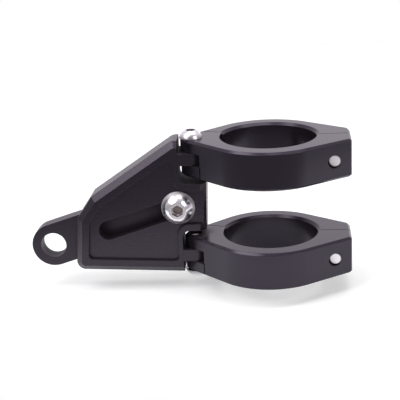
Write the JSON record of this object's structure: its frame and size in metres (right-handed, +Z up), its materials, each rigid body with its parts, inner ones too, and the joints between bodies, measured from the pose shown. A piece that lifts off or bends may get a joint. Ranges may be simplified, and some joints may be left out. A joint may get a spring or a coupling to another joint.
{
  "type": "headlight mounting bracket with fork clamps",
  "caption": "Black aluminium headlight bracket: split fork clamps hinged on a pocketed triangular side plate, with a slotted sliding arm ending in a lamp eye.",
  "frame": {"origin": "middle of the upper clamp's bore, on the fork tube's axis", "axes": "+Z up along the fork tube, +X from the fork tube towards the clamp screws, and the plate's pocketed face looks along -Y"},
  "size_m": [0.1462, 0.0574, 0.0686],
  "materials": {
    "black_anodised": "satin",
    "polished_steel": "polished"
  },
  "bodies": {
    "upper_clamp": {"upper_clamp_front": "black_anodised", "upper_clamp_rear": "black_anodised", "upper_clamp_screw": "polished_steel", "upper_hinge_screw": "polished_steel"},
    "side_plate": {"side_plate": "black_anodised"},
    "lower_clamp": {"lower_clamp_front": "black_anodised", "lower_clamp_rear": "black_anodised", "lower_clamp_screw": "polished_steel", "lower_hinge_screw": "polished_steel"},
    "arm": {"slide_arm": "black_anodised", "arm_screw": "polished_steel"}
  },
  "joints": [
    {"name": "plate_swing", "type": "hinge", "parent": "upper_clamp", "child": "side_plate", "pos_m": [-0.0342, 0, 0], "axis": [0, 0, 1], "range_deg": [-45, 45]},
    {"name": "lower_clamp_swing", "type": "hinge", "parent": "side_plate", "child": "lower_clamp", "pos_m": [-0.0342, 0, -0.045], "axis": [0, 0, 1], "range_deg": [-45, 45]},
    {"name": "arm_slide", "type": "slide", "parent": "side_plate", "child": "arm", "axis": [-0.9527, 0, -0.304], "range_m": [0, 0.0335]}
  ]
}
